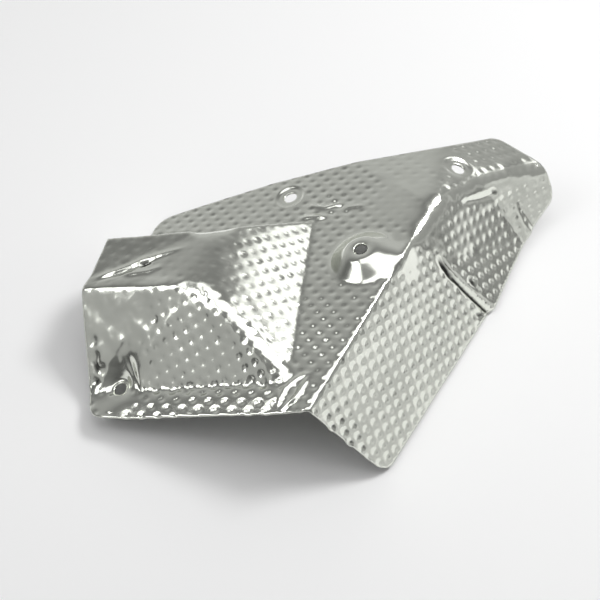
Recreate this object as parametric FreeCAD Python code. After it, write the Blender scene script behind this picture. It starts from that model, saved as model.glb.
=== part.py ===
"""Heat insulator for a tail light: one pressing in embossed aluminium sheet.

A tilted base sheet carries a faceted bulge on its left, a domed fixing boss in the middle and a tip
that falls to the right. A flap folds down from the spine, the crest that runs from front to back.
All sizes are in millimetres: X to the right, Y to the back, Z up.
"""

import FreeCAD, Part
import math
import os

from FreeCAD import Vector

# Sheet and holes
SHEET_T = 1.0           # thickness of the embossed sheet
HOLE_R = 3.25           # clearance hole for an M6 screw
FOLD_R = 2.0            # bend radius on the upper face of the bulge's folds
CUT_MARGIN = 2.0        # how far cutting tools reach past the sheet

# Slope of the base sheet, which rises to the right and falls to the back
BASE_RISE_RIGHT_DEG = 18.5
BASE_FALL_BACK_DEG = 6.4

# Spine, where the flap folds away from the base sheet
SPINE_BACK = (25.0, 111.0, 49.5)
SPINE_FRONT_XY = (-33.0, 8.0)
SPINE_FRONT_R = 2.6     # the bend is round at the front and sharpens to the back
SPINE_BACK_R = 0.6

# Flap: its front corner and the foot of its right edge, down to the crease at the tip
FLAP_CORNER = (0.0, 0.0, 0.0)
FLAP_PLEAT_XY = (55.0, 86.0)
FLAP_BACK_XY = (77.0, 125.5)
CREASE_TOP_XY = (60.0, 136.5)

# Pleat, a tapering step in the flap where spare metal gathered as it was pressed
PLEAT_TIP_XY = (29.0, 91.5)
PLEAT_STEP = 2.2        # height of the step at the flap's edge
PLEAT_RUN = 2.5         # width of the step along the edge

# Back edge of the base sheet
BACK_LEFT_XY = (-111.0, 144.5)
BACK_BEND_XY = (-49.5, 152.5)
BACK_TURN_XY = (-8.0, 154.0)

# Tip at the back right, where the sheet falls away from the spine
TIP_FOLD = (33.0, 154.5, 43.5)
TIP_BACK_XY = (65.0, 172.0)
TIP_BROW_XY = (47.5, 132.0)
TIP_HIGH = (88.5, 156.5, 28.5)
TIP_LOW_XY = (95.5, 148.5)

# Bulge over the bulb holder: foot on the base sheet, and crest
BULGE_FRONT_XY = (-41.0, 24.0)
BULGE_TAIL_XY = (-29.0, 118.0)
BULGE_FOOT_LEFT_XY = (-131.5, 36.5)
BULGE_APEX = (-77.5, 64.0, 51.0)
BULGE_SHOULDER_XY = (-75.5, 96.5)
BULGE_SIDE_XY = (-135.5, 75.0)
BULGE_CREASE_XY = (-132.0, 82.0)
BULGE_BACK = (-126.0, 101.5, 37.0)
WALL_FOOT_LEFT_XY = (-118.0, 117.0)

# Front left corner of the base sheet
FRONT_LEFT_XY = (-129.5, 23.0)

# Corner rounding of the trimmed outline
FRONT_LEFT_R = 9.0
FLAP_CORNER_R = 8.0
BACK_LEFT_R = 12.0
TIP_BACK_R = 9.0
TIP_LOW_R = 5.0

# Domed boss, beside the spine
DOME_XY = (-7.5, 86.5)
DOME_R = 16.0           # radius at the foot
DOME_SEAT_R = 7.0       # radius of the flat screw seat on top
DOME_H = 6.0

# Recessed screw seats of the holes at the back and at the tip
SEAT_R = 7.5            # radius at the rim
SEAT_FLOOR_R = 6.2      # radius of the flat floor
SEAT_DEPTH = 0.8
BACK_HOLE_XY = (-41.5, 139.5)
TIP_HOLE_XY = (41.0, 141.5)

# Pocket of the front hole: its floor lies in the base sheet and its wall is sunk into the bulge
POCKET_XY = (-117.0, 36.0)
POCKET_R = 6.2          # radius of the flat floor
POCKET_DRAFT_DEG = 14.0


def plane_through(a, b, c):
    """Unit normal, pointing up, and a point of the plane through three points."""
    normal = (b - a).cross(c - a)
    normal.normalize()
    if normal.z < 0:
        normal = normal.negative()
    return normal, a


def on_plane(plane, xy):
    """The point of a plane above a place in plan."""
    normal, origin = plane
    x, y = xy
    drop = normal.x * (x - origin.x) + normal.y * (y - origin.y)
    return Vector(x, y, origin.z - drop / normal.z)


def base_plane():
    rise = math.tan(math.radians(BASE_RISE_RIGHT_DEG))
    fall = math.tan(math.radians(BASE_FALL_BACK_DEG))
    normal = Vector(-rise, fall, 1.0)
    normal.normalize()
    return normal, Vector(*SPINE_BACK)


def fold_points():
    """Every corner of the pressing's upper face, by name."""
    base = base_plane()
    p = {"spine_back": Vector(*SPINE_BACK), "flap_corner": Vector(*FLAP_CORNER)}
    for name, xy in (
        ("spine_front", SPINE_FRONT_XY),
        ("back_left", BACK_LEFT_XY),
        ("back_bend", BACK_BEND_XY),
        ("back_turn", BACK_TURN_XY),
        ("bulge_front", BULGE_FRONT_XY),
        ("bulge_tail", BULGE_TAIL_XY),
        ("bulge_foot_left", BULGE_FOOT_LEFT_XY),
        ("wall_foot_left", WALL_FOOT_LEFT_XY),
        ("front_left", FRONT_LEFT_XY),
    ):
        p[name] = on_plane(base, xy)

    flap = plane_through(p["spine_front"], p["spine_back"], p["flap_corner"])
    for name, xy in (
        ("pleat_low", FLAP_PLEAT_XY),
        ("flap_back", FLAP_BACK_XY),
        ("crease_top", CREASE_TOP_XY),
        ("pleat_tip", PLEAT_TIP_XY),
    ):
        p[name] = on_plane(flap, xy)
    along_edge = (p["flap_back"] - p["pleat_low"]).normalize()
    p["pleat_high"] = p["pleat_low"] + along_edge * PLEAT_RUN + flap[0] * PLEAT_STEP

    p["tip_fold"] = Vector(*TIP_FOLD)
    p["tip_high"] = Vector(*TIP_HIGH)
    tip = plane_through(p["spine_back"], p["tip_fold"], p["tip_high"])
    p["tip_back"] = on_plane(tip, TIP_BACK_XY)
    p["tip_brow"] = on_plane(tip, TIP_BROW_XY)
    tip_side = plane_through(p["crease_top"], p["flap_back"], p["tip_high"])
    p["tip_low"] = on_plane(tip_side, TIP_LOW_XY)

    p["bulge_apex"] = Vector(*BULGE_APEX)
    right = plane_through(p["bulge_front"], p["bulge_tail"], p["bulge_apex"])
    p["bulge_shoulder"] = on_plane(right, BULGE_SHOULDER_XY)
    front = plane_through(p["bulge_foot_left"], p["bulge_front"], p["bulge_apex"])
    p["bulge_side"] = on_plane(front, BULGE_SIDE_XY)
    top = plane_through(p["bulge_side"], p["bulge_apex"], p["bulge_shoulder"])
    p["bulge_crease"] = on_plane(top, BULGE_CREASE_XY)
    p["bulge_back"] = Vector(*BULGE_BACK)
    return p


# Facets of the pressing, each a flat polygon named by its corners, anticlockwise from above
FACETS = {
    "base": ("front_left", "spine_front", "spine_back", "back_turn", "back_bend", "back_left",
             "wall_foot_left", "bulge_tail", "bulge_front", "bulge_foot_left"),
    "flap_front": ("spine_front", "flap_corner", "pleat_low", "pleat_tip", "spine_back"),
    "pleat": ("pleat_tip", "pleat_low", "pleat_high"),
    "pleat_lip": ("pleat_tip", "pleat_high", "flap_back"),
    "flap_back": ("spine_back", "pleat_tip", "flap_back", "crease_top"),
    "tip_side": ("crease_top", "flap_back", "tip_low", "tip_high"),
    "brow_left": ("spine_back", "crease_top", "tip_brow"),
    "brow_right": ("tip_brow", "crease_top", "tip_high"),
    "tip": ("spine_back", "tip_brow", "tip_high", "tip_back", "tip_fold"),
    "tip_shoulder": ("spine_back", "tip_fold", "back_turn"),
    "bulge_front": ("bulge_foot_left", "bulge_front", "bulge_apex", "bulge_side"),
    "bulge_right": ("bulge_front", "bulge_tail", "bulge_shoulder", "bulge_apex"),
    "bulge_top": ("bulge_side", "bulge_apex", "bulge_shoulder", "bulge_crease"),
    "bulge_roof": ("bulge_crease", "bulge_shoulder", "bulge_back"),
    "wall_left": ("bulge_back", "bulge_shoulder", "wall_foot_left"),
    "wall_right": ("bulge_shoulder", "bulge_tail", "wall_foot_left"),
}


# Folds of the bulge that are rounded on the upper face
ROUND_FOLDS = (
    ("bulge_front", "bulge_apex"),
    ("bulge_front", "bulge_tail"),
    ("bulge_side", "bulge_apex"),
    ("bulge_apex", "bulge_shoulder"),
    ("bulge_back", "bulge_shoulder"),
    ("bulge_shoulder", "bulge_tail"),
)


def facet_normal(points, corners):
    """Area-weighted normal of a polygon, of length one."""
    normal = Vector()
    for here, after in zip(corners, corners[1:] + corners[:1]):
        normal += points[here].cross(points[after])
    return normal.normalize()


def solve_exact(normals, distance, guess):
    """The point nearest to guess that lies at minus distance along each of up to three normals."""
    moved = Vector(guess)
    for _ in range(400):
        worst = 0.0
        for normal in normals:
            error = normal.dot(moved) + distance
            moved -= normal * error
            worst = max(worst, abs(error))
        if worst < 1e-12:
            break
    return moved


def lower_points(points, normals):
    """The corners of the lower face, one sheet thickness under every flat facet that meets there."""
    lower = {}
    for name in points:
        meeting = [facet for facet in FACETS if name in FACETS[facet]]
        mean = Vector()
        for facet in meeting:
            mean += normals[facet]
        mean.normalize()
        flats = [normals[facet] for facet in meeting if len(FACETS[facet]) > 3]
        lower[name] = points[name] + solve_exact(flats, SHEET_T, mean * -SHEET_T)
    return lower


def polygon_face(corners):
    return Part.Face(Part.makePolygon(list(corners) + [corners[0]]))


def folded_sheet(points, normals):
    """The pressing before its corners are rounded: both faces of every facet, and the cut edge."""
    lower = lower_points(points, normals)
    faces = []
    edges = set()
    for corners in FACETS.values():
        faces.append(polygon_face([points[c] for c in corners]))
        faces.append(polygon_face([lower[c] for c in reversed(corners)]))
        edges.update(zip(corners, corners[1:] + corners[:1]))
    for here, after in sorted(edges):
        if (after, here) not in edges:
            faces.append(polygon_face([points[here], lower[here], points[after]]))
            faces.append(polygon_face([lower[here], lower[after], points[after]]))
    shell = Part.makeShell(faces)
    shell.sewShape()
    solid = Part.makeSolid(shell)
    if solid.Volume < 0:
        solid.reverse()
    return solid.removeSplitter()


def round_folds(sheet, points):
    edges = []
    for start, end in ROUND_FOLDS:
        middle = Part.Vertex((points[start] + points[end]) / 2)
        edges.append(min(sheet.Edges, key=lambda edge: edge.distToShape(middle)[0]))
    return sheet.makeFillet(FOLD_R, edges)


def corner_wire(apex, to_before, to_after, radius):
    """Outline of what a round corner takes off: the sharp corner outside an arc, and some margin."""
    half = to_before.getAngle(to_after) / 2
    reach = radius / math.tan(half)
    inward = (to_before + to_after).normalize()
    start = apex + to_before * reach
    end = apex + to_after * reach
    middle = apex + inward * (radius / math.sin(half) - radius)
    spread = reach + CUT_MARGIN / math.sin(half)
    outer = apex - inward * (CUT_MARGIN / math.sin(half))
    return Part.Wire([
        Part.Arc(start, middle, end).toShape(),
        Part.makeLine(end, outer + to_after * spread),
        Part.makeLine(outer + to_after * spread, outer),
        Part.makeLine(outer, outer + to_before * spread),
        Part.makeLine(outer + to_before * spread, start),
    ])


def corner_tool(points, normal, before, corner, after, radius):
    """Rounds a corner of the outline, right through the sheet."""
    apex = points[corner]
    to_before = (points[before] - apex).normalize()
    to_after = (points[after] - apex).normalize()
    wire = corner_wire(apex + normal * CUT_MARGIN, to_before, to_after, radius)
    return Part.Face(wire).extrude(normal * -(SHEET_T + 2 * CUT_MARGIN))


def spine_tool(points, normals):
    """Rounds the crest of the spine, from its front end to a near-sharp back end."""
    along = (points["spine_back"] - points["spine_front"]).normalize()
    to_base = normals["base"].cross(along)
    to_flap = along.cross(normals["flap_front"])
    front = points["spine_front"] - along * CUT_MARGIN
    sections = [
        corner_wire(front, to_base, to_flap, SPINE_FRONT_R),
        corner_wire(points["spine_back"], to_base, to_flap, SPINE_BACK_R),
    ]
    return Part.makeLoft(sections, True, True)


def stand_on(shape, centre, normal):
    """A copy of a shape made round the Z axis, stood on a facet."""
    turned = shape.copy()
    turned.Placement = FreeCAD.Placement(centre, FreeCAD.Rotation(Vector(0, 0, 1), normal))
    return turned


def revolved(profile_edges):
    face = Part.Face(Part.Wire(profile_edges))
    return face.revolve(Vector(), Vector(0, 0, 1), 360)


def dome_form():
    """The filled dome: a flat seat on top, and a straight flank down to its foot."""
    seat_edge = Vector(DOME_SEAT_R, 0, DOME_H)
    foot = Vector(DOME_R, 0, 0)
    return revolved([
        Part.makeLine(Vector(), Vector(0, 0, DOME_H)),
        Part.makeLine(Vector(0, 0, DOME_H), seat_edge),
        Part.makeLine(seat_edge, foot),
        Part.makeLine(foot, Vector()),
    ])


def seat_form():
    """The filled recess of a screw seat, below the facet."""
    return revolved([
        Part.makeLine(Vector(), Vector(SEAT_R, 0, 0)),
        Part.makeLine(Vector(SEAT_R, 0, 0), Vector(SEAT_FLOOR_R, 0, -SEAT_DEPTH)),
        Part.makeLine(Vector(SEAT_FLOOR_R, 0, -SEAT_DEPTH), Vector(0, 0, -SEAT_DEPTH)),
        Part.makeLine(Vector(0, 0, -SEAT_DEPTH), Vector()),
    ])


def add_dome(sheet, centre, normal):
    outer = stand_on(dome_form(), centre, normal)
    inner = stand_on(dome_form(), centre - normal * SHEET_T, normal)
    return sheet.fuse(outer).cut(inner)


def add_seat(sheet, centre, normal):
    recess = stand_on(seat_form(), centre, normal)
    backing = stand_on(seat_form(), centre - normal * SHEET_T, normal)
    return sheet.fuse(backing).cut(recess)


def add_pocket(sheet, centre, normal, bulge_facet):
    """A cup sunk into the foot of the bulge, for a screw head on the base sheet."""
    reach = 2 * (POCKET_R + SHEET_T) + CUT_MARGIN
    spread = math.tan(math.radians(POCKET_DRAFT_DEG)) * reach
    room = Part.makeCone(POCKET_R, POCKET_R + spread, reach)
    cup = Part.makeCone(POCKET_R + SHEET_T, POCKET_R + SHEET_T + spread, reach)
    below_bulge = bulge_facet.extrude(Vector(0, 0, -2 * reach))
    wall = stand_on(cup, centre - normal * SHEET_T, normal).common(below_bulge)
    return sheet.fuse(wall).cut(stand_on(room, centre, normal))


def pierce(sheet, centre, normal):
    length = DOME_H + SEAT_DEPTH + SHEET_T + 2 * CUT_MARGIN
    start = centre + normal * (DOME_H + CUT_MARGIN)
    return sheet.cut(Part.makeCylinder(HOLE_R, length, start, normal.negative()))


def heat_shield():
    points = fold_points()
    normals = {facet: facet_normal(points, corners) for facet, corners in FACETS.items()}
    sheet = round_folds(folded_sheet(points, normals), points)
    sheet = sheet.cut(spine_tool(points, normals))

    for facet, before, corner, after, radius in (
        ("base", "bulge_foot_left", "front_left", "spine_front", FRONT_LEFT_R),
        ("base", "back_bend", "back_left", "wall_foot_left", BACK_LEFT_R),
        ("flap_front", "spine_front", "flap_corner", "pleat_low", FLAP_CORNER_R),
        ("tip", "tip_high", "tip_back", "tip_fold", TIP_BACK_R),
        ("tip_side", "flap_back", "tip_low", "tip_high", TIP_LOW_R),
    ):
        sheet = sheet.cut(corner_tool(points, normals[facet], before, corner, after, radius))

    base = base_plane()
    dome_foot = on_plane(base, DOME_XY)
    sheet = add_dome(sheet, dome_foot, base[0])
    holes = {"dome_hole": (dome_foot + base[0] * DOME_H, base[0])}
    for name, facet, xy in (
        ("back_hole", "base", BACK_HOLE_XY),
        ("tip_hole", "tip", TIP_HOLE_XY),
    ):
        normal = normals[facet]
        centre = on_plane((normal, points[FACETS[facet][0]]), xy)
        sheet = add_seat(sheet, centre, normal)
        holes[name] = (centre - normal * SEAT_DEPTH, normal)
    pocket_floor = on_plane(base, POCKET_XY)
    bulge_facet = polygon_face([points[corner] for corner in FACETS["bulge_front"]])
    sheet = add_pocket(sheet, pocket_floor, base[0], bulge_facet)
    holes["front_hole"] = (pocket_floor, base[0])
    for centre, normal in holes.values():
        sheet = pierce(sheet, centre, normal)
    return sheet.removeSplitter(), holes


def main():
    sheet, holes = heat_shield()
    box = sheet.optimalBoundingBox(False, False)
    origin = Vector(-(box.XMin + box.XMax) / 2, -(box.YMin + box.YMax) / 2, -box.ZMin)
    sheet.translate(origin)
    os.makedirs("parts", exist_ok=True)
    sheet.exportStep("parts/heat_shield.step")
    print("size", [round(v, 2) for v in (box.XLength, box.YLength, box.ZLength)], "shift", origin)
    print("solids", len(sheet.Solids), "valid", sheet.isValid(), "volume", round(sheet.Volume, 1))
    for name, (centre, normal) in holes.items():
        middle = centre + origin - normal * (SHEET_T / 2)
        print(name, [round(v, 3) for v in middle], [round(v, 5) for v in normal])


main()
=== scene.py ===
"""Looks of the tail light heat insulator: one embossed aluminium pressing on a pale floor.

The skin follows the CAD facets. It is meshed in plan with the lattice of dimples as its grid, embossed
by a Geometry Nodes tree and given the sheet's thickness. Sizes are in millimetres until a mesh is made.
"""

import math

import bpy
import numpy as np
from mathutils import Matrix, Vector, geometry, noise
from mathutils.bvhtree import BVHTree


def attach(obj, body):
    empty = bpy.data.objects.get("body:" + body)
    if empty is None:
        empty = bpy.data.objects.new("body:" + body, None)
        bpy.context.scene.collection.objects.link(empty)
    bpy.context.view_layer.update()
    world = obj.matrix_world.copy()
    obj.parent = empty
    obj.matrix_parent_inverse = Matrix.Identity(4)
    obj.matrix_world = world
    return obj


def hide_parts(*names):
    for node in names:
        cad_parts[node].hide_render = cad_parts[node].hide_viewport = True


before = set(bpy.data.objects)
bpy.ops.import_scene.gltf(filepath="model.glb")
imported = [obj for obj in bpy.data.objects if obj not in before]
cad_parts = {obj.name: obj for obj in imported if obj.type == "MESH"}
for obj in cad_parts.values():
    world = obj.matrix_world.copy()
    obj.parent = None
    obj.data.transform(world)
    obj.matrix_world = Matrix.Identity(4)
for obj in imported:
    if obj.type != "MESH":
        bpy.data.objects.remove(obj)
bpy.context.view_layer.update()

MM = 0.001
LOOK_DOWN_FROM = 1.0    # height above the solid from which its facets are found, metres

# Sheet and its emboss
SHEET_T = 1.0
PITCH = 5.5             # spacing of the square dimple lattice
GRID_STEPS = 6          # mesh steps from one dimple to the next
DIMPLE_R = 2.1
DIMPLE_DEPTH = 0.45
DEPTH_SPREAD = 0.45     # share by which the depth differs from dimple to dimple
DEPTH_SEED = 3.0
LATTICE_AZIMUTH = -60.0 # direction of the lattice in plan, degrees

# Folds
FOLD_SOFT = 2.2         # distance from a fold over which the sheet is rounded
SOFT_FOLDS = {          # folds that were pressed rounder or sharper
    ("bulge_apex", "bulge_shoulder"): 13.0,
    ("bulge_apex", "bulge_front"): 9.0,
    ("bulge_side", "bulge_apex"): 3.5,
    ("spine_front", "spine_back"): 3.5,
    ("bulge_foot_left", "bulge_front"): 2.0,
    ("spine_back", "tip_fold"): 6.0,
    ("spine_back", "crease_top"): 7.0,
    ("spine_back", "tip_brow"): 6.0,
    ("tip_brow", "crease_top"): 8.0,
    ("tip_brow", "tip_high"): 6.0,
    ("crease_top", "tip_high"): 6.0,
    ("pleat_tip", "pleat_low"): 0.6,
    ("pleat_tip", "pleat_high"): 0.6,
}
ROUND_PLACES = (        # places where the sheet rolls over gently: plan centre, radius, passes
    ((21.0, 104.0), 17.0, 50),
    ((42.0, 126.0), 15.0, 60),
    ((60.0, 139.0), 15.0, 60),
    ((78.0, 150.0), 13.0, 60),
    ((-117.0, 38.0), 17.0, 60),
)
FOLD_CORE = 0.3         # share of a fold's softness over which it is fully rounded
PLACE_CORE = 0.5        # share of a rounded place's radius over which it is fully rounded
LEAST_BEND_DEG = 1.0    # facets that meet flatter than this have no fold between them
FULL_BY_FOLD = 0.7      # distance from a fold at which dimples reach their full depth

# Unevenness of the pressed sheet: height, wavelength
WAVES = ((0.22, 24.0), (0.07, 8.0), (0.02, 3.2))
FOLD_WAVES = ((0.13, 9.0), (0.07, 4.0))
FOLD_WAVES_REACH = 5.0
EVEN_FOLD = 5.0         # folds this soft or softer stay even
CRUMPLE_WAVES = ((0.20, 8.0), (0.18, 4.5), (0.07, 2.4))
CRUMPLES = (            # crumpled places: plan centre, radius
    ((-118.0, 52.0), 26.0),
    ((-40.0, 18.0), 13.0),
    ((-24.0, 124.0), 15.0),
    ((-110.0, 80.0), 18.0),
)
CRUMPLE_CORE = 0.4      # share of a crumpled place's radius over which it is fully crumpled
HELD_R = 4.0            # the sheet is even up to this distance from a hole's centre
LOOSE_R = 12.0          # and fully uneven from this one

# Mesh
EDGE_STEP = 1.0                 # spacing of points along edges and round holes
EDGE_CLEAR = 0.3 * EDGE_STEP    # points of a fold stay this far from the outline
LEAST_RING = 20                 # points in the smallest ring round a hole
FOLD_STEP = 0.7                 # spacing of points along folds
FINE_STROKE = 2.5               # creases narrower than this get rows of points of their own
FINE_STEP = 0.45                # spacing of those rows
FINE_ALONG = 1.3 * FINE_STEP    # spacing along a row
FINE_ROWS = 2                   # rows on each side of a crease
FINE_CLEAR = 2.6 * FINE_STEP    # the lattice's points stay this far from a crease
FINE_APART = 0.7 * FINE_STEP    # points of a crease stay this far from all others
SLIVER_AREA = 0.002             # smaller triangles along the outline are left out
SOFTEN_STEP = 0.6               # share of the way to its neighbours that a point moves in one pass

# Fold points in plan, measured from the flap's front corner, which lies at PLAN_ORIGIN in the frame
PLAN_ORIGIN = np.array((20.404, -85.727))
FOLD_POINTS = {
    "spine_back": (25.0, 111.0),
    "spine_front": (-33.0, 8.0),
    "flap_corner": (0.0, 0.0),
    "pleat_low": (55.0, 86.0),
    "pleat_high": (57.7, 87.3),
    "pleat_tip": (29.0, 91.5),
    "flap_back": (77.0, 125.5),
    "crease_top": (60.0, 136.5),
    "tip_low": (95.5, 148.5),
    "tip_high": (88.5, 156.5),
    "tip_back": (65.0, 172.0),
    "tip_brow": (47.5, 132.0),
    "tip_fold": (33.0, 154.5),
    "back_turn": (-8.0, 154.0),
    "back_bend": (-49.5, 152.5),
    "back_left": (-111.0, 144.5),
    "wall_foot_left": (-118.0, 117.0),
    "bulge_tail": (-29.0, 118.0),
    "bulge_front": (-41.0, 24.0),
    "bulge_foot_left": (-131.5, 36.5),
    "bulge_apex": (-77.5, 64.0),
    "bulge_shoulder": (-75.5, 96.5),
    "bulge_side": (-135.5, 75.0),
    "bulge_crease": (-132.0, 82.0),
    "bulge_back": (-126.0, 101.5),
    "front_left": (-129.5, 23.0),
}

# Facets between the fold points, anticlockwise from above, and how deep each is embossed
FACETS = {
    "base": ("front_left", "spine_front", "spine_back", "back_turn", "back_bend", "back_left",
             "wall_foot_left", "bulge_tail", "bulge_front", "bulge_foot_left"),
    "flap_front": ("spine_front", "flap_corner", "pleat_low", "pleat_tip", "spine_back"),
    "pleat": ("pleat_tip", "pleat_low", "pleat_high"),
    "pleat_lip": ("pleat_tip", "pleat_high", "flap_back"),
    "flap_back": ("spine_back", "pleat_tip", "flap_back", "crease_top"),
    "tip_side": ("crease_top", "flap_back", "tip_low", "tip_high"),
    "brow_left": ("spine_back", "crease_top", "tip_brow"),
    "brow_right": ("tip_brow", "crease_top", "tip_high"),
    "tip": ("spine_back", "tip_brow", "tip_high", "tip_back", "tip_fold"),
    "tip_shoulder": ("spine_back", "tip_fold", "back_turn"),
    "bulge_front": ("bulge_foot_left", "bulge_front", "bulge_apex", "bulge_side"),
    "bulge_right": ("bulge_front", "bulge_tail", "bulge_shoulder", "bulge_apex"),
    "bulge_top": ("bulge_side", "bulge_apex", "bulge_shoulder", "bulge_crease"),
    "bulge_roof": ("bulge_crease", "bulge_shoulder", "bulge_back"),
    "wall_left": ("bulge_back", "bulge_shoulder", "wall_foot_left"),
    "wall_right": ("bulge_shoulder", "bulge_tail", "wall_foot_left"),
}
EMBOSS = {"base": 1.25, "bulge_top": 0.5, "bulge_roof": 0.4, "tip": 0.5, "tip_shoulder": 0.4,
          "bulge_right": 0.42, "bulge_front": 0.85, "flap_front": 1.25, "flap_back": 0.55,
          "tip_side": 0.6, "brow_left": 0.5, "brow_right": 0.5}

# Facets over which the lattice of the tip runs on
TIP_LATTICE = ("tip", "tip_shoulder", "brow_left", "brow_right")

# A dimple of the lattice on the facets that show it best, in plan
LATTICE_ORIGIN = {"bulge_front": (-79.0, 47.3), "flap_front": (-4.8, 5.7), "bulge_right": (-57.2, 56.7),
                  "base": (-19.6, 64.3)}

# Places where the emboss was pressed flat or drawn deeper: plan centre, radius, factor
EMBOSS_PATCHES = (
    ((-122.0, 58.0), 22.0, 0.0),
    ((-112.0, 66.0), 16.0, 0.3),
    ((-110.0, 40.0), 10.0, 0.0),
    ((14.0, 118.0), 22.0, 0.15),
    ((9.0, 88.0), 12.0, 0.0),
    ((22.0, 101.0), 13.0, 0.2),
    ((33.0, 148.0), 12.0, 0.1),
    ((-85.0, 84.0), 14.0, 0.3),
    ((-75.0, 22.0), 12.0, 1.9),
    ((-56.0, 20.0), 12.0, 1.9),
    ((-95.0, 24.0), 9.0, 1.6),
    ((-28.0, 45.0), 16.0, 1.5),
    ((-50.0, 30.0), 9.0, 1.7),
    ((-20.0, 124.0), 12.0, 1.5),
    ((-20.0, 4.0), 14.0, 2.0),
    ((-57.0, 38.0), 9.0, 1.8),
)
PATCH_CORE = 0.5        # share of a patch's radius over which it has its full effect

# Creases and buckles: plan points, half width, height, length over which it dies away, painted shade in it
STROKES = (
    (((-133.0, 79.6), (-119.4, 81.8), (-108.4, 85.1), (-96.4, 87.0), (-86.0, 88.4)), 1.5, 0.8, 14.0, 0.0),
    (((-132.0, 77.4), (-119.0, 79.6), (-110.0, 82.0), (-98.0, 84.0)), 1.3, -0.5, 10.0, 0.0),
    (((-109.0, 82.3), (-103.0, 83.5)), 1.5, -0.9, 2.0, 0.95),
    (((-129.6, 48.5), (-126.6, 42.6)), 1.7, -0.6, 2.5, 0.9),
    (((-130.2, 41.2), (-125.4, 38.8)), 1.4, -0.5, 2.0, 0.9),
    (((-118.0, 78.5), (-104.0, 78.2), (-97.0, 79.5)), 1.6, 0.5, 5.0, 0.0),
    (((27.0, 92.8), (33.5, 89.4), (38.0, 88.2)), 2.2, -1.8, 4.0, 0.97),
    (((33.5, 89.4), (41.8, 87.3), (56.0, 85.0)), 1.4, -1.4, 4.0, 0.97),
    (((44.0, 93.5), (47.5, 90.6)), 1.9, -1.0, 1.5, 0.85),
    (((47.0, 80.4), (52.5, 83.8)), 1.3, -0.8, 2.0, 0.8),
    (((40.0, 121.0), (51.4, 129.3), (61.0, 136.9)), 1.6, -0.7, 6.0, 0.0),
    (((58.0, 135.4), (61.5, 137.2)), 1.0, -0.6, 1.0, 0.7),
    (((-45.8, 12.5), (-43.5, 20.1), (-38.1, 24.6), (-31.0, 27.2)), 1.3, 0.7, 5.0, 0.0),
    (((-46.0, 10.8), (-38.1, 15.9), (-34.0, 22.2), (-32.0, 27.6)), 1.3, 0.7, 5.0, 0.0),
    (((-113.5, 48.0), (-110.1, 39.4), (-106.0, 28.5)), 1.7, -0.8, 4.0, 0.2),
    (((-112.0, 38.0), (-97.8, 50.8), (-86.0, 63.0)), 6.0, 0.6, 14.0, 0.0),
    (((-128.0, 68.0), (-114.0, 56.0), (-108.0, 44.0)), 8.0, -0.2, 12.0, 0.0),
    (((-126.0, 62.0), (-116.5, 64.5), (-107.5, 68.5)), 2.2, 0.22, 7.0, 0.0),
    (((-121.0, 48.0), (-116.0, 52.5), (-110.5, 54.0)), 2.0, 0.22, 5.0, 0.0),
    (((-33.5, 130.0), (-24.3, 125.1), (-15.0, 126.0)), 1.8, 0.7, 4.0, 0.0),
    (((-16.0, 122.4), (-5.0, 120.6)), 1.6, 0.6, 4.0, 0.0),
    (((-38.0, 122.0), (-22.0, 118.4)), 2.4, 1.0, 5.0, 0.0),
    (((-84.0, 71.0), (-41.0, 24.0)), 9.0, 0.8, 12.0, 0.0),
    (((5.0, -14.5), (68.0, 83.5), (94.0, 128.5)), 36.0, 2.2, 5.0, 0.0),
    (((-124.0, 19.0), (-33.0, 7.0)), 12.0, -2.0, 12.0, 0.0),
)

# Shares of a crease's half width between which the painted shade, the loss of dimples and rounding die away
CREASE_SHADE_REACH = (0.2, 0.8)
PLAIN_REACH = (0.6, 1.3)
ROUND_REACH = (1.0, 1.6)
CREASE_PASSES = 2       # rounding of narrow creases

# Rounder swellings: plan centre, radius, height
SWELLS = (
    ((7.5, 82.5), 10.5, 1.6),
    ((-97.0, 66.0), 10.0, 0.6),
    ((-129.5, 55.0), 3.0, -0.6),
    ((-128.8, 49.0), 3.2, -0.8),
    ((-126.0, 44.0), 3.2, -0.8),
    ((-129.0, 40.5), 3.0, -0.7),
)

# Folds with dimples on them: end points, depth
DENTED_FOLDS = (
    ("bulge_foot_left", "bulge_front", 0.45),
    ("bulge_apex", "bulge_front", 0.2),
)
FOLD_DENT_R = 2.6

# Corner radii of the outline
CORNER_R = {"front_left": 9.0, "flap_corner": 8.0, "back_left": 12.0, "tip_back": 9.0, "tip_low": 5.0,
            "tip_high": 4.0, "bulge_back": 4.0, "bulge_crease": 3.0, "bulge_side": 3.0, "back_bend": 10.0}

# Screw holes and their seats, each on a facet
HOLE_R = 3.25
HOLE_CUT = 0.98         # faces within this share of a hole's radius are left out
SEAT_FIRM_R = 5.0       # a seat isn't rounded with the sheet up to this distance from its centre
SEAT_FREE_R = 7.0
DOME_XY = (-7.5, 86.5)
DOME_R = 16.0
DOME_SEAT_R = 7.0
DOME_H = 6.0
DOME_LIP = ((0.0, -0.45), (0.4, -0.1), (1.15, 0.0), (2.05, 0.0))    # distance from the hole, height
DOME_FLANK_ROWS = 11
DOME_FOOT = 0.8         # width of the foot round the dome
DOME_PASSES = 3         # rounding of the dome's seat and foot
DOME_ROUND_MARGIN = 2.0 # distance from the hole, and past the foot, at which that rounding ends
SEAT_R = 7.5
SEAT_FLOOR_R = 6.2
SEAT_DEPTH = 0.8
SEAT_LIP = ((0.0, -0.25), (0.5, 0.0), (1.55, 0.0))                  # distance from the hole, height
SEAT_ROUND = 0.05       # height of the rounding at the seat's edges
SEAT_FLAT = 0.4         # width of the last flat row inside the floor's edge
SEAT_RIM = 0.5          # width of the first flat row outside the rim
BACK_HOLE_XY = (-41.5, 139.5)
TIP_HOLE_XY = (41.0, 141.5)
POCKET_XY = (-117.0, 36.0)
POCKET_R = 6.2
POCKET_RIM_R = 12.2
POCKET_SLOPE = 2.0      # rise of the pocket's wall per millimetre
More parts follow.
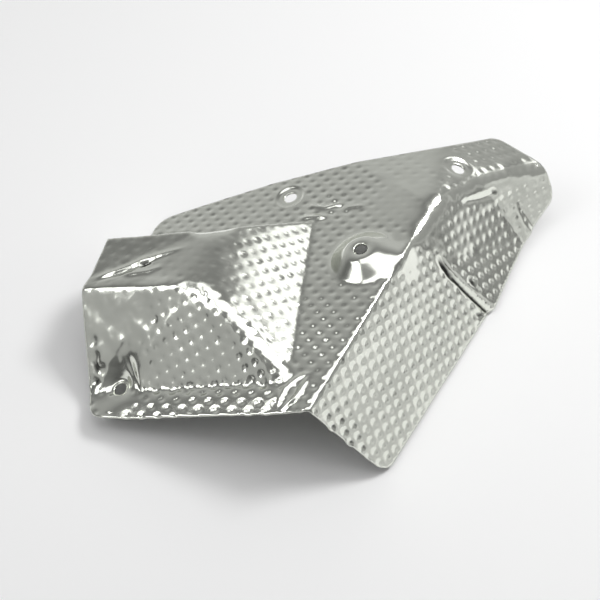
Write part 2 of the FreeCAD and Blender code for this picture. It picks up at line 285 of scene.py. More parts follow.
POCKET_FLOOR_ROWS = (0.0, 0.5, 1.35, 2.15)                          # distance from the hole
POCKET_WALL_STEP = 0.5

# Round features: facet, plan centre, and the radius that the lattice's points keep clear of
FEATURES = (
    ("base", DOME_XY, DOME_R + 1.5),
    ("base", BACK_HOLE_XY, SEAT_R + 0.9),
    ("tip", TIP_HOLE_XY, SEAT_R + 0.9),
    ("base", POCKET_XY, POCKET_RIM_R + 0.4),
)

# Finish of the sheet: darker and lighter tone, lowest and highest roughness
BRIGHT_TONES = ((0.77, 0.79, 0.72, 1), (0.87, 0.89, 0.82, 1))
BRIGHT_ROUGHNESS = (0.11, 0.20)
# Inner face: a duller finish, and a darker tone that is partly painted shade, so that it bounces little light
# onto the floor beneath the sheet
DULL_SHADED_TONES = ((0.36, 0.37, 0.34, 1), (0.46, 0.47, 0.44, 1))
DULL_ROUGHNESS = (0.35, 0.50)
# Painted shade: the dark tone mixed into the creases and dents, standing in for the shade that falls in them
CREASE_SHADE_TONE = (0.03, 0.03, 0.03, 1)
NOISE_RANGE = (0.3, 0.7)        # values between which noise mostly lies
TONE_GRAIN = 60.0               # patches to the metre
GLOSS_GRAIN = 140.0
ROLLING_GRAIN = 900.0           # rolling lines to the metre
ROLLING_STRETCH = 0.04          # share of that number along the lines
ROLLING_STRENGTH = 0.2
ROLLING_DEPTH = 0.00004         # metres

# Floor, in metres
FLOOR_SIZE = 6.0
FLOOR_TONE = (0.95, 0.95, 0.95, 1)
FLOOR_ROUGHNESS = 0.9

# Room: it gets lighter towards a low place behind the part, and towards the ceiling
ROOM_TOWARDS = (-0.12, 0.75, -0.35)
ROOM_SPAN = (0.05, 0.60)
ROOM_LIGHT = (0.10, 0.53)
CEILING_RISE = 0.17
CEILING_LOW = 0.08
LEFT_CARD_PLACE = (-0.84, -0.48, 0.52)

# Camera
CAMERA_PLACE = (-0.01603, -0.25344, 0.36159)
CAMERA_DOWN_DEG = 54.164        # how far it looks down
CAMERA_LENS = 54.0
CAMERA_SENSOR = 36.0


def cad_surface():
    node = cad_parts["heat_shield"]
    return BVHTree.FromPolygons([v.co for v in node.data.vertices], [p.vertices for p in node.data.polygons])


class Facet:
    """One flat facet: its polygon in plan, its plane, and the axes of its dimple lattice."""

    def __init__(self, name, surface):
        corners = FACETS[name]
        self.emboss = EMBOSS.get(name, 1.0)
        self.polygon = np.array([FOLD_POINTS[c] for c in corners])
        middle = (self.polygon[0] + self.polygon[1] + self.polygon[-1]) / 3
        place = Vector((*(middle + PLAN_ORIGIN) * MM, LOOK_DOWN_FROM))
        hit, normal, _, _ = surface.ray_cast(place, Vector((0, 0, -1)))
        self.normal = np.array(normal)
        self.origin = np.array((*middle, hit.z / MM))
        self.origin = self.lift(np.array([LATTICE_ORIGIN.get(name, middle)]))[0]
        along = math.radians(LATTICE_AZIMUTH)
        self.u_axis = self.tangent(math.cos(along), math.sin(along))
        self.v_axis = np.cross(self.normal, self.u_axis)

    def tangent(self, x, y):
        rise = -(self.normal[0] * x + self.normal[1] * y) / self.normal[2]
        direction = np.array((x, y, rise))
        return direction / np.linalg.norm(direction)

    def lift(self, plan):
        """Plan points put on the facet's plane."""
        slope = self.normal[:2] / self.normal[2]
        height = self.origin[2] - (plan - self.origin[:2]) @ slope
        return np.column_stack((plan, height))

    def lattice(self, points):
        """Lattice coordinates of points, one unit for each dimple."""
        local = points - self.origin
        return np.column_stack((local @ self.u_axis, local @ self.v_axis)) / PITCH

    def grid(self):
        """Mesh points inside the facet, on the lattice."""
        border = self.lattice(self.lift(self.polygon))
        low = np.floor(border.min(0))
        high = np.ceil(border.max(0))
        steps = [np.arange(a, b, 1 / GRID_STEPS) for a, b in zip(low, high)]
        u, v = np.meshgrid(*steps)
        points = self.origin + PITCH * (u.reshape(-1, 1) * self.u_axis + v.reshape(-1, 1) * self.v_axis)
        return points[inside(points[:, :2], self.polygon)]


def inside(points, polygon):
    """Which plan points lie in a polygon, by counting crossings."""
    result = np.zeros(len(points), bool)
    x, y = points[:, 0], points[:, 1]
    for (x0, y0), (x1, y1) in zip(polygon, np.roll(polygon, -1, axis=0)):
        if y0 == y1:
            continue
        crosses = (y0 > y) != (y1 > y)
        result ^= crosses & (x < (x1 - x0) * (y - y0) / (y1 - y0) + x0)
    return result


def segment_distance(points, start, end):
    along = end - start
    t = np.clip((points - start) @ along / (along @ along), 0, 1)
    return np.linalg.norm(points - start - t[:, None] * along, axis=1)


def polygon_distance(points, polygon):
    edges = zip(polygon, np.roll(polygon, -1, axis=0))
    return np.min([segment_distance(points, a, b) for a, b in edges], axis=0)


def divide(start, end, step):
    count = max(1, round(np.linalg.norm(end - start) / step))
    return [start + (end - start) * k / count for k in range(count)]


def facet_edges():
    """Folds, shared by two facets, and the ordered corner names of the outline."""
    owners = {}
    for name, corners in FACETS.items():
        for a, b in zip(corners, corners[1:] + corners[:1]):
            owners.setdefault(frozenset((a, b)), []).append((a, b))
    folds = [pair[0] for pair in owners.values() if len(pair) == 2]
    after = dict(pair[0] for pair in owners.values() if len(pair) == 1)
    chain = ["flap_corner"]
    while after[chain[-1]] != chain[0]:
        chain.append(after[chain[-1]])
    return folds, chain


def outline_points(chain):
    """The trimmed outline in plan, with its corners rounded."""
    path = []
    for before, name, after in zip(chain[-1:] + chain[:-1], chain, chain[1:] + chain[:1]):
        corner = np.array(FOLD_POINTS[name])
        radius = CORNER_R.get(name, 0.0)
        if not radius:
            path.append(corner)
            continue
        back = np.array(FOLD_POINTS[before]) - corner
        ahead = np.array(FOLD_POINTS[after]) - corner
        back /= np.linalg.norm(back)
        ahead /= np.linalg.norm(ahead)
        half = math.acos(np.clip(back @ ahead, -1, 1)) / 2
        start = corner + back * radius / math.tan(half)
        end = corner + ahead * radius / math.tan(half)
        middle = (back + ahead) / np.linalg.norm(back + ahead)
        centre = corner + middle * radius / math.sin(half)
        count = max(2, round(radius * (math.pi - 2 * half) / EDGE_STEP))
        turn = [start + (end - start) * k / count for k in range(count + 1)]
        path.extend(centre + (p - centre) / np.linalg.norm(p - centre) * radius for p in turn)
    points = []
    for a, b in zip(path, path[1:] + path[:1]):
        points.extend(divide(a, b, EDGE_STEP))
    return np.array(points)


def dome_profile():
    """Radius and height of the dome from its hole to its foot."""
    rows = [(HOLE_R + out, DOME_H + height) for out, height in DOME_LIP]
    for k in range(DOME_FLANK_ROWS + 1):
        down = k / DOME_FLANK_ROWS
        rows.append((DOME_SEAT_R + (DOME_R - DOME_SEAT_R) * down, DOME_H * (1 - down)))
    rows.append((DOME_R + DOME_FOOT, 0.0))
    return rows


def seat_profile():
    """Radius and height of a recessed seat from its hole to past its rim."""
    rows = [(HOLE_R + out, height - SEAT_DEPTH) for out, height in SEAT_LIP]
    rows.append((SEAT_FLOOR_R - SEAT_FLAT, -SEAT_DEPTH))
    rows.append((SEAT_FLOOR_R, SEAT_ROUND - SEAT_DEPTH))
    rows.append(((SEAT_FLOOR_R + SEAT_R) / 2, -SEAT_DEPTH / 2))
    rows.append((SEAT_R, -SEAT_ROUND))
    rows.append((SEAT_R + SEAT_RIM, 0.0))
    return rows


def rings(facet, xy, profile):
    """Points round a hole, at each radius and height of a profile."""
    centre = facet.lift(np.array([xy]))[0]
    side = np.cross(facet.normal, facet.u_axis)
    points = []
    for row, (radius, height) in enumerate(profile):
        count = max(LEAST_RING, round(2 * math.pi * radius / EDGE_STEP))
        for k in range(count):
            angle = 2 * math.pi * (k + 0.5 * (row % 2)) / count
            around = math.cos(angle) * facet.u_axis + math.sin(angle) * side
            points.append(centre + around * radius + facet.normal * height)
    return np.array(points)


def pocket_rings(facets):
    """The front hole's pocket: a floor on the base, and a wall up to the bulge."""
    base = facets["base"]
    wall_rows = round((POCKET_RIM_R - POCKET_R) / POCKET_WALL_STEP)
    radii = [HOLE_R + out for out in POCKET_FLOOR_ROWS]
    radii.extend(POCKET_R + POCKET_WALL_STEP * k for k in range(wall_rows + 1))
    points = rings(base, POCKET_XY, [(r, 0.0) for r in radii])
    centre = base.lift(np.array([POCKET_XY]))[0]
    radius = np.linalg.norm(points - centre, axis=1)
    on_bulge = facets["bulge_front"].lift(points[:, :2])[:, 2]
    rise = np.clip(radius - POCKET_R, 0, None) * POCKET_SLOPE
    points[:, 2] = np.maximum(points[:, 2], np.minimum(points[:, 2] + rise, on_bulge))
    return points


class Skin:
    """The sheet's upper face: points gathered facet by facet, then joined in plan."""

    def __init__(self):
        self.points = []
        self.lattice = []
        self.emboss = []
        self.lines = []
        self.count = 0

    def add(self, points, lattice=None, emboss=0.0):
        self.points.append(points)
        self.lattice.append(np.zeros((len(points), 2)) if lattice is None else lattice)
        self.emboss.append(np.full(len(points), emboss))
        first = self.count
        self.count += len(points)
        return list(range(first, self.count))

    def add_line(self, points, closed=False):
        ids = self.add(points)
        self.lines.extend(zip(ids, ids[1:]))
        if closed:
            self.lines.append((ids[-1], ids[0]))

    def join(self, outline, holes):
        """Triangles between all the points, inside the outline and outside the holes."""
        self.points = np.concatenate(self.points)
        self.lattice = np.concatenate(self.lattice)
        self.emboss = np.concatenate(self.emboss)
        self.crease_shade = np.zeros(self.count)
        plan = [Vector(p) for p in self.points[:, :2]]
        _, _, faces, origin, _, _ = geometry.delaunay_2d_cdt(plan, self.lines, [], 0, 1e-5)
        source = np.array([ids[0] for ids in origin])
        faces = source[np.array(faces)]
        middle = self.points[faces].mean(1)
        keep = inside(middle[:, :2], outline) & ~self.slivers(faces)
        for centre, axis in holes:
            offset = middle - centre
            offset -= np.outer(offset @ axis, axis)
            keep &= np.linalg.norm(offset, axis=1) > HOLE_R * HOLE_CUT
        self.faces = faces[keep]
        self.from_hole = np.min([np.linalg.norm(self.points - centre, axis=1) for centre, _ in holes], axis=0)

    def slivers(self, faces):
        """Which triangles lie flat along a straight run of the outline."""
        on_outline = np.zeros(self.count, bool)
        on_outline[np.ravel(self.lines)] = True
        first, second, third = (self.points[faces[:, k], :2] for k in range(3))
        area = np.abs(np.cross(second - first, third - first)) / 2
        return on_outline[faces].all(1) & (area < SLIVER_AREA)

    def soften(self, weight, passes):
        """Rounds the sheet where weight is above zero. Points on an edge move along that edge."""
        a, b, c = self.faces.T
        pairs = np.sort(np.concatenate([np.stack(p, 1) for p in ((a, b), (b, c), (c, a))]), axis=1)
        edges, uses = np.unique(pairs, axis=0, return_counts=True)
        rim = edges[uses == 1]
        on_rim = np.zeros(len(self.points), bool)
        on_rim[rim.ravel()] = True
        inner = edges[~(on_rim[edges[:, 0]] | on_rim[edges[:, 1]])]
        mixed = edges[on_rim[edges[:, 0]] ^ on_rim[edges[:, 1]]]
        inward = np.where(on_rim[mixed[:, :1]], mixed[:, ::-1], mixed)
        links = np.concatenate([inner, inner[:, ::-1], rim, rim[:, ::-1], inward])
        size = len(self.points)
        share = np.bincount(links[:, 0], minlength=size).clip(1)
        for _ in range(passes):
            for axis in range(3):
                own = self.points[:, axis]
                total = np.bincount(links[:, 0], own[links[:, 1]], minlength=size)
                own += SOFTEN_STEP * weight * (total / share - own)

    def from_place(self, centre):
        """Distance of the points from a place in plan."""
        return np.linalg.norm(self.points[:, :2] - centre, axis=1)

    def from_bends(self, bends):
        """Distance of the points from the nearest of some folds."""
        return np.min([segment_distance(self.points, *bend.ends) for bend in bends], axis=0)

    def normals(self):
        """Normals at the points, from the faces round them."""
        corners = self.points[self.faces]
        face_normals = np.cross(corners[:, 1] - corners[:, 0], corners[:, 2] - corners[:, 0])
        result = np.zeros_like(self.points)
        for axis in range(3):
            for k in range(3):
                result[:, axis] += np.bincount(self.faces[:, k], face_normals[:, axis], len(self.points))
        return result / np.linalg.norm(result, axis=1)[:, None]


def ease(value, low, high):
    t = np.clip((value - low) / (high - low), 0, 1)
    return t * t * (3 - 2 * t)


def waves(points, layers):
    """Smooth random heights, the same in each run."""
    total = np.zeros(len(points))
    for height, length in layers:
        total += [height * noise.noise(Vector(p / length)) for p in points]
    return total


def line_reach(points, line):
    """Distance of plan points from a line, and how far from its nearer end they lie along it."""
    best = np.full(len(points), np.inf)
    place = np.zeros(len(points))
    run = 0.0
    for a, b in zip(line, line[1:]):
        length = np.linalg.norm(b - a)
        t = np.clip((points - a) @ (b - a) / length ** 2, 0, 1)
        away = np.linalg.norm(points - a - t[:, None] * (b - a), axis=1)
        nearer = away < best
        best[nearer] = away[nearer]
        place[nearer] = run + t[nearer] * length
        run += length
    return best, np.minimum(place, run - place)


def stroke_points(line):
    """Close rows of plan points along a crease."""
    points = []
    for a, b in zip(line, line[1:]):
        along = (b - a) / np.linalg.norm(b - a)
        side = np.array((-along[1], along[0])) * FINE_STEP
        for p in divide(a, b, FINE_ALONG):
            points.extend(p + side * k for k in range(-FINE_ROWS, FINE_ROWS + 1))
    return np.array(points)


def press_creases(skin):
    """Moves the sheet along its normals for the creases, and marks the shade painted into them."""
    plan = skin.points[:, :2]
    height = np.zeros(len(plan))
    fine = np.zeros(len(plan))
    for line, half_width, rise, fade, painted_shade in STROKES:
        away, from_end = line_reach(plan, np.array(line))
        dying = ease(from_end, 0.0, fade)
        reach = away / half_width
        height += rise * dying * (1 - ease(reach, 0.0, 1.0))
        # painted shade: darkest along the crease's middle, dying away towards its sides and ends
        skin.crease_shade = np.maximum(skin.crease_shade, painted_shade * dying * (1 - ease(reach, *CREASE_SHADE_REACH)))
        if half_width < FINE_STROKE:
            skin.emboss *= 1 - dying * (1 - ease(reach, *PLAIN_REACH))
            fine = np.maximum(fine, 1 - ease(reach, *ROUND_REACH))
    for centre, radius, rise in SWELLS:
        height += rise * (1 - ease(skin.from_place(centre), 0.0, radius))
    for start, end, depth in DENTED_FOLDS:
        for centre in divide(np.array(FOLD_POINTS[start]), np.array(FOLD_POINTS[end]), PITCH)[1:]:
            height -= depth * (1 - ease(skin.from_place(centre), 0.0, FOLD_DENT_R))
    skin.points += skin.normals() * height[:, None]
    skin.soften(fine, CREASE_PASSES)


class Bend:
    """A fold between two facets: its ends, its softness, and whether one lattice runs across it."""

    def __init__(self, a, b, facets, lattices):
        names = [name for name, corners in FACETS.items() if a in corners and b in corners]
        first, second = (facets[name] for name in names)
        self.ends = first.lift(np.array((FOLD_POINTS[a], FOLD_POINTS[b])))
        self.soft = SOFT_FOLDS.get((a, b), SOFT_FOLDS.get((b, a), FOLD_SOFT))
        self.lattice = lattices[names[0]]
        self.one_lattice = self.lattice is lattices[names[1]]
        self.emboss = (first.emboss + second.emboss) / 2 if self.one_lattice else 0.0
        self.is_flat = first.normal @ second.normal > math.cos(math.radians(LEAST_BEND_DEG))


class Layout:
    """The facets, folds, outline and holes that the skin is laid out on."""

    def __init__(self):
        surface = cad_surface()
        self.facets = {name: Facet(name, surface) for name in FACETS}
        self.lattices = {name: self.facets["tip" if name in TIP_LATTICE else name] for name in FACETS}
        folds, self.chain = facet_edges()
        self.outline = outline_points(self.chain)
        bends = [Bend(a, b, self.facets, self.lattices) for a, b in folds]
        self.bends = [bend for bend in bends if not bend.is_flat]
        self.fine_lines = [np.array(line) for line, half_width, *_ in STROKES if half_width < FINE_STROKE]
        self.holes = []
        for name, xy, _ in FEATURES:
            facet = self.facets[name]
            self.holes.append((facet.lift(np.array([xy]))[0], facet.normal))

    def clear_of_features(self, points):
        keep = np.ones(len(points), bool)
        for (name, _, radius), (centre, _) in zip(FEATURES, self.holes):
            flat = self.facets[name].lift(points[:, :2])
            keep &= np.linalg.norm(flat - centre, axis=1) > radius
        return keep

    def within_outline(self, plan, margin):
        return inside(plan, self.outline) & (polygon_distance(plan, self.outline) > margin)

    def put_on_facets(self, plan):
        """Plan points put on the facet that holds them, or on the nearest."""
        facets = list(self.facets.values())
        away = [np.where(inside(plan, f.polygon), 0, polygon_distance(plan, f.polygon)) for f in facets]
        owner = np.argmin(away, axis=0)
        points = np.zeros((len(plan), 3))
        for k, facet in enumerate(facets):
            points[owner == k] = facet.lift(plan[owner == k])
        return points


def add_grids(skin, layout):
    """The lattice's points on each facet."""
    for name, facet in layout.facets.items():
        grid = facet.grid()
        plan = grid[:, :2]
        half_step = 0.5 * PITCH / GRID_STEPS * facet.normal[2]
        keep = polygon_distance(plan, facet.polygon) > half_step
        keep &= layout.within_outline(plan, half_step)
        for line in layout.fine_lines:
            keep &= line_reach(plan, line)[0] > FINE_CLEAR
        grid = grid[keep & layout.clear_of_features(grid)]
        skin.add(grid, layout.lattices[name].lattice(grid), facet.emboss)


def add_bends(skin, layout):
    """Points along the folds."""
    for bend in layout.bends:
        line = np.array(divide(*bend.ends, FOLD_STEP)[1:])
        line = line[layout.within_outline(line[:, :2], EDGE_CLEAR) & layout.clear_of_features(line)]
        skin.add(line, bend.lattice.lattice(line), bend.emboss)


def add_creases(skin, layout):
    """Close rows of points along the narrow creases."""
    placed = np.concatenate(skin.points)
    for line in layout.fine_lines:
        strip = stroke_points(line)
        strip = strip[layout.within_outline(strip, FINE_STEP)]
        apart = np.array([np.min(np.abs(placed[:, :2] - p).max(1)) for p in strip])
        strip = layout.put_on_facets(strip[apart > FINE_APART])
        strip = strip[layout.clear_of_features(strip)]
        placed = np.concatenate((placed, strip))
        skin.add(strip)


def add_features(skin, layout):
    """Points at the inner corners, and rings of points round the holes."""
    corners = np.array([FOLD_POINTS[name] for name in FOLD_POINTS if name not in layout.chain])
    skin.add(layout.put_on_facets(corners))
    skin.add(rings(layout.facets["base"], DOME_XY, dome_profile()))
    skin.add(rings(layout.facets["base"], BACK_HOLE_XY, seat_profile()))
    skin.add(rings(layout.facets["tip"], TIP_HOLE_XY, seat_profile()))
    skin.add(pocket_rings(layout.facets))


def set_emboss(skin, layout):
    """No dimples on the folds, and patches where they are shallower or deeper."""
    breaks = [bend for bend in layout.bends if not bend.one_lattice]
    skin.emboss *= ease(skin.from_bends(breaks), 0.0, FULL_BY_FOLD)
    for centre, radius, factor in EMBOSS_PATCHES:
        outside = ease(skin.from_place(centre), PATCH_CORE * radius, radius)
        skin.emboss *= factor + (1 - factor) * outside


def round_sheet(skin, layout):
    """Rounds the folds, then the dome, then the places where the sheet rolls over."""
    for soft in sorted({bend.soft for bend in layout.bends}):
        away = skin.from_bends([bend for bend in layout.bends if bend.soft == soft])
        passes = max(1, round(soft ** 2 / 2))   # the reach grows with the root of the passes
        skin.soften(1 - ease(away, FOLD_CORE * soft, soft), passes)
    dome_centre, _ = layout.holes[0]
    from_dome = np.linalg.norm(skin.points - dome_centre, axis=1)
    on_dome = (from_dome > HOLE_R + DOME_ROUND_MARGIN) & (from_dome < DOME_R + DOME_ROUND_MARGIN)
    skin.soften(on_dome.astype(float), DOME_PASSES)
    off_seats = ease(skin.from_hole, SEAT_FIRM_R, SEAT_FREE_R)
    for centre, radius, passes in ROUND_PLACES:
        nearby = 1 - ease(skin.from_place(centre), PLACE_CORE * radius, radius)
        skin.soften(nearby * off_seats, passes)


def make_uneven(skin, layout):
    """Waves all over the sheet, more of them at sharp folds and in crumpled places."""
    sharp = [bend for bend in layout.bends if bend.soft < EVEN_FOLD]
    by_fold = 1 - ease(skin.from_bends(sharp), 0.0, FOLD_WAVES_REACH)
    uneven = waves(skin.points, WAVES) + by_fold * waves(skin.points, FOLD_WAVES)
    crumpled = np.zeros(len(skin.points))
    for centre, radius in CRUMPLES:
        nearby = 1 - ease(skin.from_place(centre), CRUMPLE_CORE * radius, radius)
        crumpled = np.maximum(crumpled, nearby)
    uneven += crumpled * waves(skin.points, CRUMPLE_WAVES)
    loose = ease(skin.from_hole, HELD_R, LOOSE_R)
    skin.points += skin.normals() * (uneven * loose)[:, None]


def build_skin():
    """The sheet's upper face as it was pressed, apart from its dimples."""
    layout = Layout()
    skin = Skin()
    add_grids(skin, layout)
    skin.add_line(layout.put_on_facets(layout.outline), closed=True)
    add_bends(skin, layout)
    add_creases(skin, layout)
    add_features(skin, layout)
    skin.join(layout.outline, layout.holes)
    set_emboss(skin, layout)
    round_sheet(skin, layout)
    make_uneven(skin, layout)
    press_creases(skin)
    return skin


def new_group(name, inputs):
    """An empty Geometry Nodes tree with named number inputs."""
    tree = bpy.data.node_groups.new(name, "GeometryNodeTree")
    tree.interface.new_socket("Geometry", in_out="INPUT", socket_type="NodeSocketGeometry")
    sockets = {}
    for label in inputs:
        sockets[label] = tree.interface.new_socket(label, in_out="INPUT", socket_type="NodeSocketFloat")
    tree.interface.new_socket("Geometry", in_out="OUTPUT", socket_type="NodeSocketGeometry")
    return tree, sockets


def emboss_tree(material):
    """Pushes a round dimple into the sheet at each point of the lattice."""
    tree, sockets = new_group("Emboss", ("Pitch", "Radius", "Depth", "Spread", "Seed"))
    nodes, links = tree.nodes, tree.links
    entry = nodes.new("NodeGroupInput")
    leave = nodes.new("NodeGroupOutput")

    def attribute(name, kind):
        node = nodes.new("GeometryNodeInputNamedAttribute")
        node.data_type = kind
        node.inputs["Name"].default_value = name
        return node.outputs["Attribute"]

    def vector_math(operation, first, second=None):
        node = nodes.new("ShaderNodeVectorMath")
        node.operation = operation
        entries = (node.inputs[0], node.inputs["Scale" if operation == "SCALE" else 1])
        for value, socket in zip((first, second), entries):
            if isinstance(value, tuple):
                socket.default_value = value
            elif value is not None:
                links.new(value, socket)
        return node.outputs["Value" if operation == "LENGTH" else "Vector"]

    def multiply(first, second):
        node = nodes.new("ShaderNodeMath")
        node.operation = "MULTIPLY"
        links.new(first, node.inputs[0])
        links.new(second, node.inputs[1])
        return node.outputs["Value"]

    middle = (0.5, 0.5, 0.0)
    shifted = vector_math("ADD", attribute("lattice", "FLOAT_VECTOR"), middle)
    in_cell = vector_math("SUBTRACT", vector_math("FRACTION", shifted), middle)
    distance = vector_math("LENGTH", vector_math("SCALE", in_cell, entry.outputs["Pitch"]))
    profile = nodes.new("ShaderNodeMapRange")
    profile.interpolation_type = "SMOOTHSTEP"
    links.new(distance, profile.inputs["Value"])
    links.new(entry.outputs["Radius"], profile.inputs["From Max"])
    profile.inputs["To Min"].default_value = 1.0
    profile.inputs["To Max"].default_value = 0.0
    chance = nodes.new("ShaderNodeTexWhiteNoise")
    chance.noise_dimensions = "4D"
    links.new(entry.outputs["Seed"], chance.inputs["W"])
    links.new(vector_math("FLOOR", shifted), chance.inputs["Vector"])
    shallower = nodes.new("ShaderNodeMath")
    shallower.operation = "SUBTRACT"
    shallower.inputs[0].default_value = 1.0
    links.new(multiply(chance.outputs["Value"], entry.outputs["Spread"]), shallower.inputs[1])
    depth = multiply(profile.outputs["Result"], entry.outputs["Depth"])
    depth = multiply(depth, attribute("emboss", "FLOAT"))
    depth = multiply(depth, shallower.outputs["Value"])
    normal = nodes.new("GeometryNodeInputNormal").outputs["Normal"]
    inward = vector_math("SUBTRACT", (0.0, 0.0, 0.0), normal)
    offset = vector_math("SCALE", inward, depth)

    move = nodes.new("GeometryNodeSetPosition")
    links.new(entry.outputs["Geometry"], move.inputs["Geometry"])
    links.new(offset, move.inputs["Offset"])
    smooth = nodes.new("GeometryNodeSetShadeSmooth")
    links.new(move.outputs["Geometry"], smooth.inputs["Geometry"])
    realize = nodes.new("GeometryNodeRealizeInstances")
    links.new(smooth.outputs["Geometry"], realize.inputs["Geometry"])
    finish = nodes.new("GeometryNodeSetMaterial")
    finish.inputs["Material"].default_value = material
    links.new(realize.outputs["Geometry"], finish.inputs["Geometry"])
    links.new(finish.outputs["Geometry"], leave.inputs["Geometry"])
    return tree, sockets


def skin_object(skin, outside, inside_face):
    """The embossed sheet as one closed mesh."""
    mesh = bpy.data.meshes.new("embossed_sheet")
    points = skin.points.copy()
    points[:, :2] += PLAN_ORIGIN
    mesh.from_pydata(points * MM, [], skin.faces)
    lattice = mesh.attributes.new("lattice", "FLOAT_VECTOR", "POINT")
    lattice.data.foreach_set("vector", np.column_stack((skin.lattice, np.zeros(len(points)))).ravel())
    for name, values in (("emboss", skin.emboss), ("crease_shade", skin.crease_shade)):
        layer = mesh.attributes.new(name, "FLOAT", "POINT")
        layer.data.foreach_set("value", values)
    mesh.materials.append(outside)
    mesh.materials.append(inside_face)
    sheet = bpy.data.objects.new("embossed_sheet", mesh)
    bpy.context.scene.collection.objects.link(sheet)

    tree, sockets = emboss_tree(outside)
    dimples = sheet.modifiers.new("dimples", "NODES")
    dimples.node_group = tree
    sizes = {"Pitch": PITCH * MM, "Radius": DIMPLE_R * MM, "Depth": DIMPLE_DEPTH * MM,
             "Spread": DEPTH_SPREAD, "Seed": DEPTH_SEED}
    for label, value in sizes.items():
        dimples[sockets[label].identifier] = value
    wall = sheet.modifiers.new("sheet thickness", "SOLIDIFY")
    wall.thickness = SHEET_T * MM
    wall.offset = -1.0
    wall.material_offset = 1
    evaluated = sheet.evaluated_get(bpy.context.evaluated_depsgraph_get())
    solid = bpy.data.meshes.new_from_object(evaluated)
    sheet.modifiers.clear()
    sheet.data = solid
    return sheet


def aluminium(name, tones, roughness):
    """Rolled sheet: metal with rolling lines, uneven tone and gloss, and shade painted dark into the creases
    and dents.
    """
    material = bpy.data.materials.new(name)
    material.use_nodes = True
    nodes, links = material.node_tree.nodes, material.node_tree.links
    shader = nodes["Principled BSDF"]
    shader.inputs["Metallic"].default_value = 1.0
    place = nodes.new("ShaderNodeTexCoord")
    rolled = nodes.new("ShaderNodeMapping")
    rolled.inputs["Rotation"].default_value = (0, 0, math.radians(-LATTICE_AZIMUTH))
    rolled.inputs["Scale"].default_value = (ROLLING_STRETCH, 1.0, 1.0)
    links.new(place.outputs["Object"], rolled.inputs["Vector"])

    def grain(vector, scale, detail):
        node = nodes.new("ShaderNodeTexNoise")
        node.inputs["Scale"].default_value = scale
        node.inputs["Detail"].default_value = detail
        links.new(vector, node.inputs["Vector"])
        return node.outputs["Fac"]

    def spread(value, low, high):
        node = nodes.new("ShaderNodeMapRange")
        node.inputs["From Min"].default_value, node.inputs["From Max"].default_value = NOISE_RANGE
        node.inputs["To Min"].default_value = low
        node.inputs["To Max"].default_value = high
        links.new(value, node.inputs["Value"])
        return node.outputs["Result"]

    tone = nodes.new("ShaderNodeValToRGB")
    for element, colour in zip(tone.color_ramp.elements, tones):
        element.color = colour
    links.new(grain(place.outputs["Object"], TONE_GRAIN, 4.0), tone.inputs["Fac"])
    # painted shade: the base colour is darkened towards the dark tone in the creases and dents
    crease_shade = nodes.new("ShaderNodeAttribute")
    crease_shade.attribute_name = "crease_shade"
    shaded_tone = nodes.new("ShaderNodeMix")
    shaded_tone.data_type = "RGBA"
    links.new(crease_shade.outputs["Fac"], shaded_tone.inputs["Factor"])
    links.new(tone.outputs["Color"], shaded_tone.inputs["A"])
    shaded_tone.inputs["B"].default_value = CREASE_SHADE_TONE
    links.new(shaded_tone.outputs["Result"], shader.inputs["Base Color"])
    gloss = grain(place.outputs["Object"], GLOSS_GRAIN, 5.0)
    links.new(spread(gloss, *roughness), shader.inputs["Roughness"])
    lines = nodes.new("ShaderNodeBump")
    lines.inputs["Strength"].default_value = ROLLING_STRENGTH
    lines.inputs["Distance"].default_value = ROLLING_DEPTH
    links.new(grain(rolled.outputs["Vector"], ROLLING_GRAIN, 3.0), lines.inputs["Height"])
    links.new(lines.outputs["Normal"], shader.inputs["Normal"])
    return material


def pale_floor():
    material = bpy.data.materials.new("pale_floor")
    material.use_nodes = True
    shader = material.node_tree.nodes["Principled BSDF"]
    shader.inputs["Base Color"].default_value = FLOOR_TONE
    shader.inputs["Roughness"].default_value = FLOOR_ROUGHNESS
    bpy.ops.mesh.primitive_plane_add(size=FLOOR_SIZE)
    floor = bpy.context.object
    floor.name = "floor"
    floor.data.materials.append(material)


def softbox(name, place, width, height, radiance, level=False, turn=0.0, card=False):
    """An area light at a place in metres. It faces the part, or straight down where it is level.

    A card is so dim that it only shows in the metal.
    """
    lamp = bpy.data.lights.new(name, "AREA")
    lamp.shape = "RECTANGLE"
    lamp.size = width
    lamp.size_y = height
    lamp.energy = radiance * math.pi * width * height
    stand = bpy.data.objects.new(name, lamp)
    bpy.context.scene.collection.objects.link(stand)
    stand.location = place
    stand.visible_camera = False
    stand.visible_diffuse = not card
    if not level:
        facing = Vector(place).to_track_quat("Z", "Y").to_matrix()
        stand.rotation_euler = (facing @ Matrix.Rotation(math.radians(turn), 3, "Z")).to_euler()


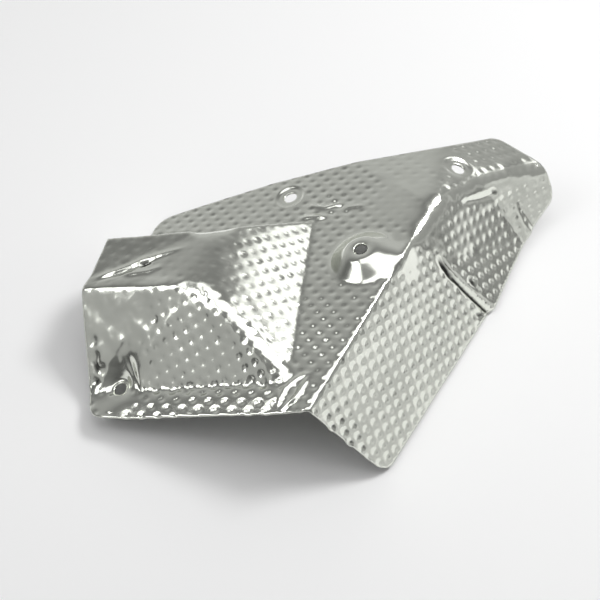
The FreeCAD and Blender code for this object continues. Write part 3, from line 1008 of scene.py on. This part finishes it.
def studio():
    """A dim room, three softboxes, a panel at the back, and dim cards that the metal mirrors."""
    world = bpy.data.worlds.new("studio")
    world.use_nodes = True
    nodes, links = world.node_tree.nodes, world.node_tree.links
    place = nodes.new("ShaderNodeTexCoord")
    towards = nodes.new("ShaderNodeVectorMath")
    towards.operation = "DOT_PRODUCT"
    towards.inputs[1].default_value = ROOM_TOWARDS
    links.new(place.outputs["Generated"], towards.inputs[0])
    room = nodes.new("ShaderNodeMapRange")
    room.inputs["From Min"].default_value, room.inputs["From Max"].default_value = ROOM_SPAN
    room.inputs["To Min"].default_value, room.inputs["To Max"].default_value = ROOM_LIGHT
    links.new(towards.outputs["Value"], room.inputs["Value"])
    parts = nodes.new("ShaderNodeSeparateXYZ")
    links.new(place.outputs["Generated"], parts.inputs["Vector"])
    ceiling = nodes.new("ShaderNodeMath")
    ceiling.operation = "MULTIPLY_ADD"
    links.new(parts.outputs["Z"], ceiling.inputs[0])
    ceiling.inputs[1].default_value = CEILING_RISE
    ceiling.inputs[2].default_value = CEILING_LOW
    brighter = nodes.new("ShaderNodeMath")
    brighter.operation = "MAXIMUM"
    links.new(room.outputs["Result"], brighter.inputs[0])
    links.new(ceiling.outputs["Value"], brighter.inputs[1])
    links.new(brighter.outputs["Value"], nodes["Background"].inputs["Color"])
    bpy.context.scene.world = world

    softbox("overhead softbox", (0.075, 0.125, 1.1), 1.35, 0.75, 1.3, level=True)
    softbox("left softbox", (-0.77, -0.13, 0.78), 0.55, 0.43, 2.3)
    softbox("key softbox", (0.59, 0.34, 0.87), 0.30, 0.30, 20.0)
    softbox("back panel", (0.617, 0.650, 0.640), 0.18, 0.30, 1.3, turn=79.0)
    softbox("right card", (0.45, -0.16, 0.075), 0.42, 0.15, 0.43, card=True)
    softbox("back card", (0.48, 0.20, 0.075), 0.30, 0.15, 0.16, card=True)
    softbox("high right card", (0.82, 0.15, 0.39), 1.00, 0.49, 0.18, card=True)
    softbox("left card", LEFT_CARD_PLACE, 0.90, 0.60, 0.24, card=True)
    softbox("inner left card", LEFT_CARD_PLACE, 0.42, 0.20, 0.22, card=True)


def camera():
    lens = bpy.data.cameras.new("camera")
    lens.lens = CAMERA_LENS
    lens.sensor_width = CAMERA_SENSOR
    eye = bpy.data.objects.new("camera", lens)
    eye.location = CAMERA_PLACE
    eye.rotation_euler = (math.radians(90.0 - CAMERA_DOWN_DEG), 0.0, 0.0)
    bpy.context.scene.collection.objects.link(eye)
    bpy.context.scene.camera = eye


def main():
    bpy.context.scene.view_settings.view_transform = "Standard"
    outside = aluminium("bright_aluminium", BRIGHT_TONES, BRIGHT_ROUGHNESS)
    # the inner face's darker tone is partly painted shade for the underside and the floor below it
    inside_face = aluminium("dull_shaded_aluminium", DULL_SHADED_TONES, DULL_ROUGHNESS)
    sheet = skin_object(build_skin(), outside, inside_face)
    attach(sheet, "root")
    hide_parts("heat_shield")
    pale_floor()
    studio()
    camera()


main()
